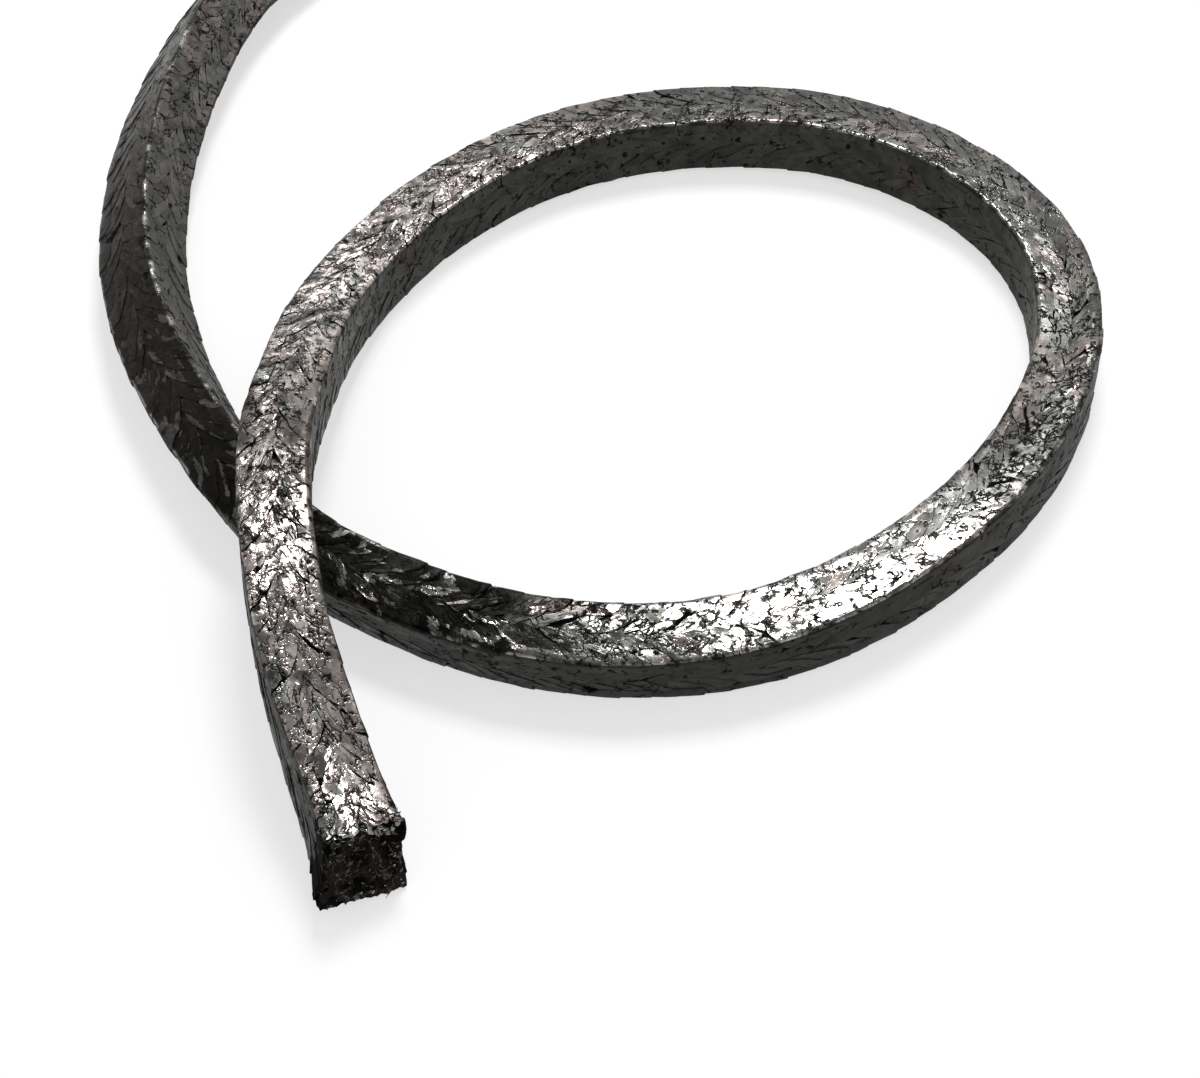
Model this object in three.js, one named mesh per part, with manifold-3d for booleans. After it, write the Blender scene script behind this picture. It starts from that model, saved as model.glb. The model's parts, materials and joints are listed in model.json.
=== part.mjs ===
// Gland packing: one length of square braided graphite packing, knife-cut at both ends.
// It lies on a flat surface in one open loop, and its near tail passes over the strand below it.
// Lengths are in millimetres and angles in degrees. +Z is up, and the near end points to -Y.

import * as THREE from 'three';
import { mergeVertices } from 'three/addons/utils/BufferGeometryUtils.js';
import ManifoldModule from 'manifold-3d';

// Section of the packing
const side = 12;
const edgeRadius = 1.5;

// Crossing: the upper strand clears the lower one, whose own twist there stands it on an edge
const crossingGap = 0.5;
const crossedTwist = 12;

// Near end: the knife leant back, and the braid opened a little beside the cut
const cutSlant = 24;
const cutSetback = 5;
const flareGrowth = 0.1;
const flareLength = 18;

// Route of the middle of the packing, from the far end to the near end, chosen by hand.
// Each point has its place in plan, its twist outwards from lying flat, and the share of the
// strand below that it is lifted by.
const route = [
  [-38, 128, 84, 0],
  [-51.5, 115.5, 72, 0],
  [-63, 101, 60, 0],
  [-73.5, 85.5, 52, 0],
  [-81, 68.5, 48, 0],
  [-85.5, 50, 44, 0],
  [-88, 31.5, 39, 0],
  [-88, 12.5, 34, 0],
  [-85.5, -6, 29, 0],
  [-79.5, -24, 24, 0],
  [-71, -40.5, 19, 0],
  [-60.5, -56, 14, 0],
  [-47.5, -69.5, 11, 0],
  [-31, -79, 9, 0],
  [-13.5, -85.5, 7, 0],
  [5, -88, 5, 0],
  [23.5, -86, 1, 0],
  [41, -79.5, -3, 0],
  [57, -69, -6, 0],
  [70.5, -56, -8, 0],
  [81, -40.5, -8, 0],
  [87.5, -23, -4, 0],
  [88, -4, 1, 0],
  [81, 13, 4, 0],
  [68, 26.5, 6, 0],
  [51, 35.5, 6, 0],
  [33, 39, 5, 0],
  [14, 38, 4, 0],
  [-4, 33, 4, 0],
  [-20.5, 23.5, 3, 0],
  [-34, 11, 2, 0],
  [-44.5, -4.5, 1, 0.05],
  [-50, -22, -2, 0.38],
  [-52, -39.5, -4, 0.8],
  [-53.5, -58, -4, 1],
  [-51.5, -76.5, -5, 1],
  [-47.5, -94.5, -7, 0.75],
  [-41.5, -111.5, -11, 0.3],
  [-33, -132.5, -14, 0],
];
const routeSteps = 80;

const upwards = new THREE.Vector3(0, 0, 1);

// Finish of the graphite yarn
const graphite = { color: 0x4b4a46, roughness: 0.5, metalness: 0.35 };

// Half the height of the rounded section once it is twisted
function restHeight(twist) {
  const angle = THREE.MathUtils.degToRad(twist);
  const flat = side / 2 - edgeRadius;
  return flat * (Math.abs(Math.cos(angle)) + Math.abs(Math.sin(angle))) + edgeRadius;
}

// The path of the packing's middle, which also turns the section with the twist
class PackingRoute extends THREE.Curve {
  constructor(points) {
    super();
    const strandBelow = 2 * restHeight(crossedTwist) + crossingGap;
    const last = points.length - 1;
    const middles = points.map(([x, y, twist, lift], index) => {
      const growth = index === last ? 1 + flareGrowth : 1;
      return new THREE.Vector3(x, y, growth * restHeight(twist) + lift * strandBelow);
    });
    const twists = points.map(([, , twist]) => new THREE.Vector3(twist, 0, 0));
    this.middles = new THREE.CatmullRomCurve3(middles, false, 'catmullrom', 0.5);
    this.twists = new THREE.CatmullRomCurve3(twists, false, 'catmullrom', 0.5);
  }

  getPoint(t, target = new THREE.Vector3()) {
    return this.middles.getPoint(t, target);
  }

  // Directions along the packing, to its outer side and to its top face, at a share of its length
  frameAt(share) {
    const along = this.getTangentAt(share);
    const twist = THREE.MathUtils.degToRad(this.twists.getPoint(this.getUtoTmapping(share)).x);
    const outer = along.clone().cross(upwards).normalize();
    outer.applyAxisAngle(along, twist);
    const top = outer.clone().cross(along);
    return { along, outer, top };
  }

  // Growth of the section where the braid opens towards the near end
  growthAt(share) {
    const fromEnd = (1 - share) * this.getLength();
    const opened = 1 - THREE.MathUtils.smoothstep(fromEnd, 0, flareLength);
    return 1 + flareGrowth * opened;
  }

  computeFrenetFrames(segments) {
    const frames = { tangents: [], normals: [], binormals: [] };
    for (let step = 0; step <= segments; step += 1) {
      const share = step / segments;
      const { along, outer, top } = this.frameAt(share);
      const growth = this.growthAt(share);
      frames.tangents.push(along);
      frames.normals.push(top.multiplyScalar(growth));
      frames.binormals.push(outer.multiplyScalar(growth));
    }
    return frames;
  }
}

// Square section with round edges, two chords to each edge
function sectionShape() {
  const flat = side / 2 - edgeRadius;
  const shape = new THREE.Shape();
  shape.absarc(flat, flat, edgeRadius, 0, Math.PI / 2);
  shape.absarc(-flat, flat, edgeRadius, Math.PI / 2, Math.PI);
  shape.absarc(-flat, -flat, edgeRadius, Math.PI, 1.5 * Math.PI);
  shape.absarc(flat, -flat, edgeRadius, 1.5 * Math.PI, 2 * Math.PI);
  return shape;
}

// Block whose lower face lies on the slanted cut and which covers all that the knife took away
function knifeBlock(path) {
  const share = 1 - cutSetback / path.getLength();
  const { along, outer } = path.frameAt(share);
  const normal = along.applyAxisAngle(outer, THREE.MathUtils.degToRad(cutSlant));
  const size = 3 * side;
  const block = new THREE.BoxGeometry(size, size, size);
  block.translate(0, 0, size / 2);
  const turn = new THREE.Matrix4().makeBasis(outer, normal.clone().cross(outer), normal);
  block.applyMatrix4(turn.setPosition(path.getPointAt(share)));
  return block;
}

// Conversions between closed geometries and solids that can be cut
function toSolid(wasm, geometry) {
  const bare = geometry.clone();
  bare.deleteAttribute('normal');
  bare.deleteAttribute('uv');
  const merged = mergeVertices(bare, 1e-4);
  const vertProperties = new Float32Array(merged.attributes.position.array);
  const triVerts = new Uint32Array(merged.index.array);
  return new wasm.Manifold(new wasm.Mesh({ numProp: 3, vertProperties, triVerts }));
}

function toGeometry(solid) {
  const mesh = solid.getMesh();
  const geometry = new THREE.BufferGeometry();
  geometry.setAttribute('position', new THREE.BufferAttribute(mesh.vertProperties, 3));
  geometry.setIndex(new THREE.BufferAttribute(mesh.triVerts, 1));
  geometry.computeVertexNormals();
  return geometry;
}

// The packing, swept whole and then cut at its near end
async function packingGeometry() {
  const wasm = await ManifoldModule();
  wasm.setup();
  const path = new PackingRoute(route);
  path.arcLengthDivisions = 20 * routeSteps;
  const swept = new THREE.ExtrudeGeometry(sectionShape(), {
    extrudePath: path,
    steps: routeSteps,
    curveSegments: 1,
    bevelEnabled: false,
  });
  const cut = toSolid(wasm, swept).subtract(toSolid(wasm, knifeBlock(path)));
  return toGeometry(cut);
}

const packing = await packingGeometry();
packing.computeBoundingBox();
const middle = packing.boundingBox.getCenter(new THREE.Vector3());
packing.translate(-middle.x, -middle.y, -packing.boundingBox.min.z);

const packingMesh = new THREE.Mesh(packing, new THREE.MeshStandardMaterial(graphite));
packingMesh.name = 'braided_packing';

const part = new THREE.Group();
part.name = 'gland_packing';
part.add(packingMesh);

export default part;
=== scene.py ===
"""Square braided graphite gland packing, lying in one open loop that crosses itself.

The packing is dressed as what it is: yarn floats pressed flat over a dark core, with slots between
them, and two knife-cut ends with the yarn ends showing. Lengths are in metres unless a name says mm.
"""

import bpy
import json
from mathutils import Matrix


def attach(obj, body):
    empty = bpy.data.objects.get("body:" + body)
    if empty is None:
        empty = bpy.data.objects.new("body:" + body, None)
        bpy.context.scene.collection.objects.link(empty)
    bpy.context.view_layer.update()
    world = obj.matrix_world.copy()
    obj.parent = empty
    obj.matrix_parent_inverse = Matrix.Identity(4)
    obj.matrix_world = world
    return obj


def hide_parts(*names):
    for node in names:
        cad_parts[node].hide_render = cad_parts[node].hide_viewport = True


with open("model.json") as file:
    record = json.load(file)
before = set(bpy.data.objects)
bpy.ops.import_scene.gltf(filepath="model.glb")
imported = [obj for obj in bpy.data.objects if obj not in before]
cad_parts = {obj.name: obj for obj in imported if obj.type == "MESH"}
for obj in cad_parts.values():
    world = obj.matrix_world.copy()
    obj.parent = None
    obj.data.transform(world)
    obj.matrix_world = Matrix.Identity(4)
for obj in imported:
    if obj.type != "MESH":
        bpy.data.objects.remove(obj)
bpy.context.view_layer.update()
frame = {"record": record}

import json
import logging
import math
from dataclasses import dataclass
from enum import Enum

import bmesh
import bpy
import numpy as np
from mathutils import Matrix, Vector

CAD_NODE = "braided_packing"
BODY = "root"
MM = 0.001
FLOOR_GAP = 0.00002
UP = Vector((0.0, 0.0, 1.0))

log = logging.getLogger("packing")


class End(Enum):
    """The two knife-cut ends of the packing."""

    FAR = "far"
    NEAR = "near"


class Field:
    """A number or a vector that flows through a node tree, written in sums like any other value."""

    def __init__(self, maker: "TreeMaker", socket: bpy.types.NodeSocket) -> None:
        """Keeps the socket.

        Args:
            maker: The maker of the tree that the socket is in.
            socket: An output socket.
        """
        self.maker = maker
        self.socket = socket

    @property
    def is_vector(self) -> bool:
        """Says whether the socket carries a vector or a colour."""
        return self.socket.type in ("VECTOR", "RGBA")

    def __add__(self, other: "Operand") -> "Field":
        """Adds."""
        return self.maker.combine("ADD", self, other)

    def __sub__(self, other: "Operand") -> "Field":
        """Subtracts."""
        return self.maker.combine("SUBTRACT", self, other)

    def __rsub__(self, other: "Operand") -> "Field":
        """Subtracts the field from the other."""
        return self.maker.combine("SUBTRACT", other, self)

    def __mul__(self, other: "Operand") -> "Field":
        """Multiplies."""
        return self.maker.combine("MULTIPLY", self, other)

    def __truediv__(self, other: "Operand") -> "Field":
        """Divides."""
        return self.maker.combine("DIVIDE", self, other)

    def parts(self) -> tuple["Field", "Field", "Field"]:
        """Splits a vector into its three numbers."""
        node = self.maker.add("ShaderNodeSeparateXYZ", {"Vector": self})
        return tuple(Field(self.maker, socket) for socket in node.outputs)


Operand = Field | float | tuple[float, float, float]
Colour = tuple[float, float, float, float]


class TreeMaker:
    """Adds nodes to one node tree, for geometry or for a material."""

    def __init__(self, tree: bpy.types.NodeTree) -> None:
        """Keeps the tree.

        Args:
            tree: The tree that the nodes go into.
        """
        self.tree = tree

    def input(self, name: str, kind: str) -> None:
        """Adds an input to the tree's own interface."""
        self.tree.interface.new_socket(name=name, in_out="INPUT", socket_type="NodeSocket" + kind)

    def output(self, name: str, kind: str) -> None:
        """Adds an output to the tree's own interface."""
        self.tree.interface.new_socket(name=name, in_out="OUTPUT", socket_type="NodeSocket" + kind)

    @staticmethod
    def pick(sockets: bpy.types.bpy_prop_collection, key: str | int) -> bpy.types.NodeSocket:
        """Finds a socket by its number, or the one in use by its name."""
        if isinstance(key, int):
            return sockets[key]
        return next(socket for socket in sockets if socket.name == key and socket.enabled)

    def add(self, kind: str, inputs: dict | None = None, **settings: object) -> bpy.types.Node:
        """Adds a node.

        Args:
            kind: Blender's name of the node's type.
            inputs: Values or fields for its input sockets, by name or number.
            **settings: Values for the node's own properties.

        Returns:
            The new node.
        """
        node = self.tree.nodes.new(kind)
        for name, value in settings.items():
            setattr(node, name, value)
        for key, value in (inputs or {}).items():
            self.feed(self.pick(node.inputs, key), value)
        return node

    def feed(self, socket: bpy.types.NodeSocket, value: object) -> None:
        """Links a field or a socket to an input, or sets the input's own value."""
        if isinstance(value, Field):
            self.tree.links.new(value.socket, socket)
        elif isinstance(value, bpy.types.NodeSocket):
            self.tree.links.new(value, socket)
        else:
            socket.default_value = value

    def get(
        self, kind: str, inputs: dict | None = None, out: str | int = 0, **settings: object
    ) -> Field:
        """Adds a node and gives one of its outputs as a field."""
        node = self.add(kind, inputs, **settings)
        return Field(self, self.pick(node.outputs, out))

    def combine(self, operation: str, first: Operand, second: Operand) -> Field:
        """Joins two values by plain arithmetic, as vectors if either is one."""
        vectors = [isinstance(x, tuple) or getattr(x, "is_vector", False) for x in (first, second)]
        if not any(vectors):
            return self.math(operation, first, second)
        if all(vectors):
            return self.get("ShaderNodeVectorMath", {0: first, 1: second}, operation=operation)
        if operation != "MULTIPLY":
            raise ValueError(f"{operation} takes two vectors or two numbers")
        vector, number = (first, second) if vectors[0] else (second, first)
        return self.get("ShaderNodeVectorMath", {0: vector, 3: number}, operation="SCALE")

    def math(self, operation: str, *values: Field | float) -> Field:
        """Adds a Math node."""
        return self.get("ShaderNodeMath", dict(enumerate(values)), operation=operation)

    def xyz(self, x: Field | float, y: Field | float, z: Field | float) -> Field:
        """Joins three numbers into a vector."""
        return self.get("ShaderNodeCombineXYZ", {0: x, 1: y, 2: z})

    def clamp(self, value: Field, low: Field | float, high: Field | float) -> Field:
        """Keeps a number between two limits."""
        return self.get("ShaderNodeClamp", {"Value": value, "Min": low, "Max": high})

    def ramp(
        self, value: Field, low: float, high: float, to_low: float = 0.0, to_high: float = 1.0
    ) -> Field:
        """Maps a number smoothly from one range to another, held at its ends."""
        inputs = {0: value, 1: low, 2: high, 3: to_low, 4: to_high}
        return self.get("ShaderNodeMapRange", inputs, interpolation_type="SMOOTHSTEP")

    def noise(self, place: Field, scale: float, detail: float = 2.0, out: str = "Factor") -> Field:
        """Adds a noise texture at a place."""
        node = self.add("ShaderNodeTexNoise", {"Vector": place, "Scale": scale, "Detail": detail})
        return Field(self, node.outputs[0] if out == "Factor" else node.outputs[1])

    def blend(self, share: Field | float, first: object, second: object) -> Field:
        """Mixes two colours."""
        node = self.add("ShaderNodeMix", data_type="RGBA")
        self.feed(node.inputs[0], share)
        self.feed(node.inputs[6], first)
        self.feed(node.inputs[7], second)
        return Field(self, node.outputs[2])

    def named(self, name: str, kind: str = "FLOAT") -> Field:
        """Reads a named attribute inside a geometry tree."""
        return self.get("GeometryNodeInputNamedAttribute", {"Name": name}, data_type=kind)

    def store(self, geometry: Field, name: str, value: Field | float, kind: str = "FLOAT") -> Field:
        """Stores a named attribute on the points of a geometry."""
        inputs = {"Geometry": geometry, "Name": name, "Value": value}
        return self.get("GeometryNodeStoreNamedAttribute", inputs, data_type=kind, domain="POINT")

    def random(self, seed: int, ident: Field, low: float = 0.0, high: float = 1.0) -> Field:
        """Draws a number for each point from a fixed seed."""
        inputs = {"Min": low, "Max": high, "ID": ident, "Seed": seed}
        node = self.add("FunctionNodeRandomValue", data_type="FLOAT")
        for key, value in inputs.items():
            self.feed(self.pick(node.inputs, key), value)
        return Field(self, self.pick(node.outputs, "Value"))


@dataclass(frozen=True)
class Station:
    """One point that the route goes through.

    Args:
        x: Place in plan.
        y: Place in plan.
        twist: Turn outwards from lying flat, in degrees.
        lift: Share of the strand below that the middle is lifted by.
        shine: How bright the top face is there, from 0 to 1, partly rubbed brightness of the yarn and
            partly painted highlight and shade.
        crumple: How crumpled the pressed surface is there, 1 for the usual.
        warmth: How warm the tinge of the surface is there, how densely its yarn lies, and how much painted
            light brightens the top, from 0 to 1.
        lean: Where the top face is more crumpled, from -1 at the inner edge to 1 at the outer one.
    """

    x: float
    y: float
    twist: float
    lift: float
    shine: float
    crumple: float
    warmth: float
    lean: float


# The four station marks read along the route; shine and warmth also carry painted light and shade.
WEAR_AND_LIGHT = ("shine", "crumple", "warmth", "lean")
MARKS = ("tone", "upward", "depth", "shine", "crumple", "warmth", "rim", "corner", "inner", "scuffed")
YARN_OUTPUT = 1
NUMBER_OUTPUT = 2
ROUTE = (
    Station(-0.038, 0.128, 84, 0, 0.25, 0.4, 0.5, 0),
    Station(-0.0515, 0.1155, 72, 0, 0.22, 0.4, 0.5, 0),
    Station(-0.063, 0.101, 60, 0, 0.15, 0.35, 0.5, 0),
    Station(-0.0735, 0.0855, 52, 0, 0.08, 0.35, 0.5, 0),
    Station(-0.081, 0.0685, 48, 0, 0.02, 0.35, 0.6, 0),
    Station(-0.0855, 0.05, 44, 0, 0.02, 0.35, 0.6, 0),
    Station(-0.088, 0.0315, 39, 0, 0.02, 0.35, 0.6, 0),
    Station(-0.088, 0.0125, 34, 0, 0.02, 0.35, 0.6, 0),
    Station(-0.0855, -0.006, 29, 0, 0.02, 0.35, 0.6, 0),
    Station(-0.0795, -0.024, 24, 0, 0.02, 0.4, 0.5, 0),
    Station(-0.071, -0.0405, 19, 0, 0.02, 0.45, 0.4, 0),
    Station(-0.0605, -0.056, 14, 0, 0, 0.5, 0.3, 0),
    Station(-0.0475, -0.0695, 11, 0, 0.02, 0.7, 0.2, 0),
    Station(-0.031, -0.079, 9, 0, 0.02, 0.9, 0.1, 0),
    Station(-0.0135, -0.0855, 7, 0, 0.05, 1, 0.1, 0),
    Station(0.005, -0.088, 5, 0, 0.62, 0.65, 0.1, 0),
    Station(0.0235, -0.086, 1, 0, 1, 0.36, 0.15, 0.2),
    Station(0.041, -0.0795, -3, 0, 1, 0.18, 0.2, 0.3),
    Station(0.057, -0.069, -6, 0, 0.85, 0.2, 0.25, 0.4),
    Station(0.0705, -0.056, -8, 0, 0.32, 0.45, 0.3, 0.7),
    Station(0.081, -0.0405, -8, 0, 0.26, 0.55, 0.3, 0.8),
    Station(0.0875, -0.023, -4, 0, 0.32, 0.4, 0.25, 0.6),
    Station(0.088, -0.004, 1, 0, 0.62, 0.3, 0.2, -0.3),
    Station(0.081, 0.013, 4, 0, 0.74, 0.3, 0.2, -0.5),
    Station(0.068, 0.0265, 6, 0, 0.68, 0.35, 0.25, -0.7),
    Station(0.051, 0.0355, 6, 0, 0.55, 0.4, 0.35, -0.8),
    Station(0.033, 0.039, 5, 0, 0.48, 0.45, 0.3, -0.8),
    Station(0.014, 0.038, 4, 0, 0.4, 0.45, 0.4, -0.8),
    Station(-0.004, 0.033, 4, 0, 0.44, 0.6, 0.7, -0.7),
    Station(-0.0205, 0.0235, 3, 0, 0.64, 0.8, 1, -0.3),
    Station(-0.034, 0.011, 2, 0, 0.86, 0.85, 1, 0),
    Station(-0.0445, -0.0045, 1, 0.05, 1, 1, 1, 0.2),
    Station(-0.05, -0.022, -2, 0.38, 1, 1, 0.8, 0.8),
    Station(-0.052, -0.0395, -4, 0.8, 0.72, 1.1, 0.8, 0.9),
    Station(-0.0535, -0.058, -4, 1, 0.24, 1.1, 0.9, 0.9),
    Station(-0.0515, -0.0765, -5, 1, 0.7, 1.3, 0.8, 0.8),
    Station(-0.0475, -0.0945, -7, 0.75, 0.95, 1.2, 0.8, 0.8),
    Station(-0.0415, -0.1115, -11, 0.3, 0.95, 1.1, 0.8, 0.8),
    Station(-0.033, -0.1325, -14, 0, 0.65, 0.8, 0.7, 0.7),
)


@dataclass
class PackingRoute:
    """The middle of the packing, with the directions that turn its square section."""

    side: float = 0.012
    edge_radius: float = 0.0015
    pressed_radius: float = 0.0008
    crossing_gap: float = 0.0005
    crossed_twist: float = 12.0
    cut_slant: float = 24.0
    cut_setback: float = 0.005
    flare_growth: float = 0.1
    flare_length: float = 0.018
    spacing: float = 0.001
    samples_to_a_station: int = 40

    def __post_init__(self) -> None:
        """Works the route out once, evenly spaced and moved into the frame of the CAD part."""
        middles, twists, wear_and_light = self._splines()
        steps = np.linalg.norm(np.diff(middles, axis=0), axis=1)
        travelled = np.concatenate([[0.0], np.cumsum(steps)])
        self.length = float(travelled[-1])
        count = round(self.length / self.spacing) + 1
        self.along = np.linspace(0.0, self.length, count)
        self.middles = np.stack([np.interp(self.along, travelled, middles[:, k]) for k in range(3)], axis=1)
        self.twists = np.interp(self.along, travelled, twists)
        self.wear_and_light = {name: np.interp(self.along, travelled, wear_and_light[:, k]) for k, name in enumerate(WEAR_AND_LIGHT)}
        mount = next(m for m in frame["record"]["mounts"] if m["name"] == "far_cut_face")
        self.middles += np.array(mount["pos_m"]) - self.middles[0]

    @property
    def flat(self) -> float:
        """Half the width of a pressed face between its round edges."""
        return self.side / 2 - self.pressed_radius

    @property
    def perimeter(self) -> float:
        """Length around the pressed section."""
        return 8 * self.flat + 2 * math.pi * self.pressed_radius

    @property
    def cut_at(self) -> float:
        """How far along the middle the near cut crosses it."""
        return self.length - self.cut_setback

    @property
    def cut_lean(self) -> float:
        """How far the near cut runs back for each unit of height in the section."""
        return math.tan(math.radians(self.cut_slant))

    def rest_height(self, twist: float) -> float:
        """Gives half the height of the twisted section, for a twist in degrees."""
        angle = math.radians(twist)
        flat = self.side / 2 - self.edge_radius
        return flat * (abs(math.cos(angle)) + abs(math.sin(angle))) + self.edge_radius

    def _splines(self) -> tuple[np.ndarray, np.ndarray, np.ndarray]:
        """Samples the smooth curve through the stations.

        Returns:
            The middles, one row for each sample, the twists in degrees, and the marks of the route's
            surface and painted light.
        """
        strand_below = 2 * self.rest_height(self.crossed_twist) + self.crossing_gap
        knots = []
        for station in ROUTE:
            growth = 1 + self.flare_growth if station is ROUTE[-1] else 1.0
            height = growth * self.rest_height(station.twist) + station.lift * strand_below
            wear_and_light = [getattr(station, name) for name in WEAR_AND_LIGHT]
            knots.append((station.x, station.y, height, station.twist, *wear_and_light))
        knots = np.array(knots)
        ends = (2 * knots[0] - knots[1], 2 * knots[-1] - knots[-2])
        knots = np.vstack([ends[0], knots, ends[1]])
        share = np.linspace(0.0, 1.0, self.samples_to_a_station, endpoint=False)[:, None]
        rows = []
        for before, start, stop, after in zip(knots, knots[1:], knots[2:], knots[3:]):
            leave = (stop - before) / 2
            arrive = (after - start) / 2
            cubic = 2 * start - 2 * stop + leave + arrive
            square = -3 * start + 3 * stop - 2 * leave - arrive
            rows.append(((cubic * share + square) * share + leave) * share + start)
        rows.append(knots[-2][None, :])
        line = np.vstack(rows)
        return line[:, :3], line[:, 3], line[:, 4:]

    def frame_at(self, index: int) -> tuple[Vector, Vector, Vector]:
        """Gives the directions along the packing, to its outer side and to its top face."""
        low = max(index - 1, 0)
        high = min(index + 1, len(self.middles) - 1)
        along = Vector(self.middles[high] - self.middles[low]).normalized()
        outer = along.cross(UP).normalized()
        outer.rotate(Matrix.Rotation(math.radians(self.twists[index]), 3, along))
        return along, outer, outer.cross(along)

    def growth_at(self, index: int) -> float:
        """Gives the growth of the section where the braid opens towards the near end."""
        share = min((self.length - self.along[index]) / self.flare_length, 1.0)
        opened = 1 - share * share * (3 - 2 * share)
        return 1 + self.flare_growth * opened

    def line_object(self) -> bpy.types.Object:
        """Makes the route as a line of edges that carries its directions, for the node trees to read."""
        count = len(self.middles)
        mesh = bpy.data.meshes.new("route_line")
        mesh.from_pydata([tuple(p) for p in self.middles], [(i, i + 1) for i in range(count - 1)], [])
        frames = [self.frame_at(index) for index in range(count)]
        for name, which in (("outer", 1), ("top", 2)):
            layer = mesh.attributes.new(name, "FLOAT_VECTOR", "POINT")
            layer.data.foreach_set("vector", np.array([tuple(f[which]) for f in frames]).ravel())
        growth = np.array([self.growth_at(index) for index in range(count)])
        for name, values in {"growth": growth, **self.wear_and_light}.items():
            layer = mesh.attributes.new(name, "FLOAT", "POINT")
            layer.data.foreach_set("value", values)
        item = bpy.data.objects.new("route_line", mesh)
        bpy.context.scene.collection.objects.link(item)
        return item

    def cord_path(self) -> list[tuple[float, float, float]]:
        """Gives the middle of the packing from its far end to its near cut."""
        kept = self.middles[self.along <= self.cut_at]
        return [tuple(p) for p in kept[::3]] + [tuple(kept[-1])]


@dataclass
class PackingGroups:
    """The two node groups that lay anything on the packing."""

    route: PackingRoute

    def outline(self) -> bpy.types.NodeTree:
        """Builds the group that bends a place on the unrolled surface around the rounded square.

        Returns:
            A group with the inputs Around and Out, and the outputs Outer, Top, Face outer and Face top.
        """
        tree = bpy.data.node_groups.new("Section outline", "GeometryNodeTree")
        maker = TreeMaker(tree)
        for name in ("Around", "Out"):
            maker.input(name, "Float")
        for name in ("Outer", "Top", "Face outer", "Face top"):
            maker.output(name, "Float")
        source = maker.add("NodeGroupInput")
        around, out = (Field(maker, source.outputs[k]) for k in range(2))
        quarter = self.route.perimeter / 4
        flat = self.route.flat
        radius = self.route.pressed_radius
        face = maker.math("FLOOR", around / quarter)
        across = around - (face + 0.5) * quarter
        reach = maker.math("ABSOLUTE", across)
        hand = maker.math("SIGN", across)
        bend = maker.math("MAXIMUM", reach - flat, 0.0) / radius
        normal_x = maker.math("COSINE", bend)
        normal_y = maker.math("SINE", bend) * hand
        place_x = normal_x * (out + radius) + flat
        place_y = normal_y * (out + radius) + hand * maker.math("MINIMUM", reach, flat)
        turn = face * (math.pi / 2)
        cosine = maker.math("COSINE", turn)
        sine = maker.math("SINE", turn)
        results = (
            place_x * cosine - place_y * sine,
            place_x * sine + place_y * cosine,
            normal_x * cosine - normal_y * sine,
            normal_x * sine + normal_y * cosine,
        )
        sink = maker.add("NodeGroupOutput")
        for socket, value in zip(sink.inputs, results):
            maker.feed(socket, value)
        return tree

    def place(self) -> bpy.types.NodeTree:
        """Builds the group that puts a place in the section at a distance along the route.

        Returns:
            A group with the inputs Route, Along, Outer and Top, and the outputs Place, Outer direction,
            Top direction and the four marks of the route's surface and painted light.
        """
        tree = bpy.data.node_groups.new("Place on the packing", "GeometryNodeTree")
        maker = TreeMaker(tree)
        maker.input("Route", "Geometry")
        for name in ("Along", "Outer", "Top"):
            maker.input(name, "Float")
        for name in ("Place", "Outer direction", "Top direction"):
            maker.output(name, "Vector")
        for name in WEAR_AND_LIGHT:
            maker.output(name, "Float")
        source = maker.add("NodeGroupInput")
        route, along, outer, top = (Field(maker, source.outputs[k]) for k in range(4))
        held = maker.clamp(along, 0.0, self.route.length)

        def sample(name: str, kind: str) -> bpy.types.Node:
            """Reads one of the route's attributes at the distance along it."""
            inputs = {"Curves": route, "Value": maker.named(name, kind), "Length": held}
            return maker.add("GeometryNodeSampleCurve", inputs, mode="LENGTH", data_type=kind)

        outer_node = sample("outer", "FLOAT_VECTOR")
        outer_way = Field(maker, maker.pick(outer_node.outputs, "Value"))
        top_way = Field(maker, maker.pick(sample("top", "FLOAT_VECTOR").outputs, "Value"))
        growth, *wear_and_light = (
            Field(maker, maker.pick(sample(name, "FLOAT").outputs, "Value")) for name in ("growth", *WEAR_AND_LIGHT)
        )
        middle = Field(maker, maker.pick(outer_node.outputs, "Position"))
        tangent = Field(maker, maker.pick(outer_node.outputs, "Tangent"))
        place = middle + outer_way * (outer * growth)
        place = place + top_way * (top * growth) + tangent * (along - held)
        sink = maker.add("NodeGroupOutput")
        for socket, value in zip(sink.inputs, (place, outer_way, top_way, *wear_and_light)):
            maker.feed(socket, value)
        return tree


def bare_material(
    name: str, specular: float
) -> tuple[bpy.types.Material, TreeMaker, bpy.types.Node]:
    """Makes a material, and gives it with the maker of its tree and its main shader."""
    material = bpy.data.materials.new(name)
    material.use_nodes = True
    shader = material.node_tree.nodes["Principled BSDF"]
    shader.inputs["Specular IOR Level"].default_value = specular
    return material, TreeMaker(material.node_tree), shader


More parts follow.
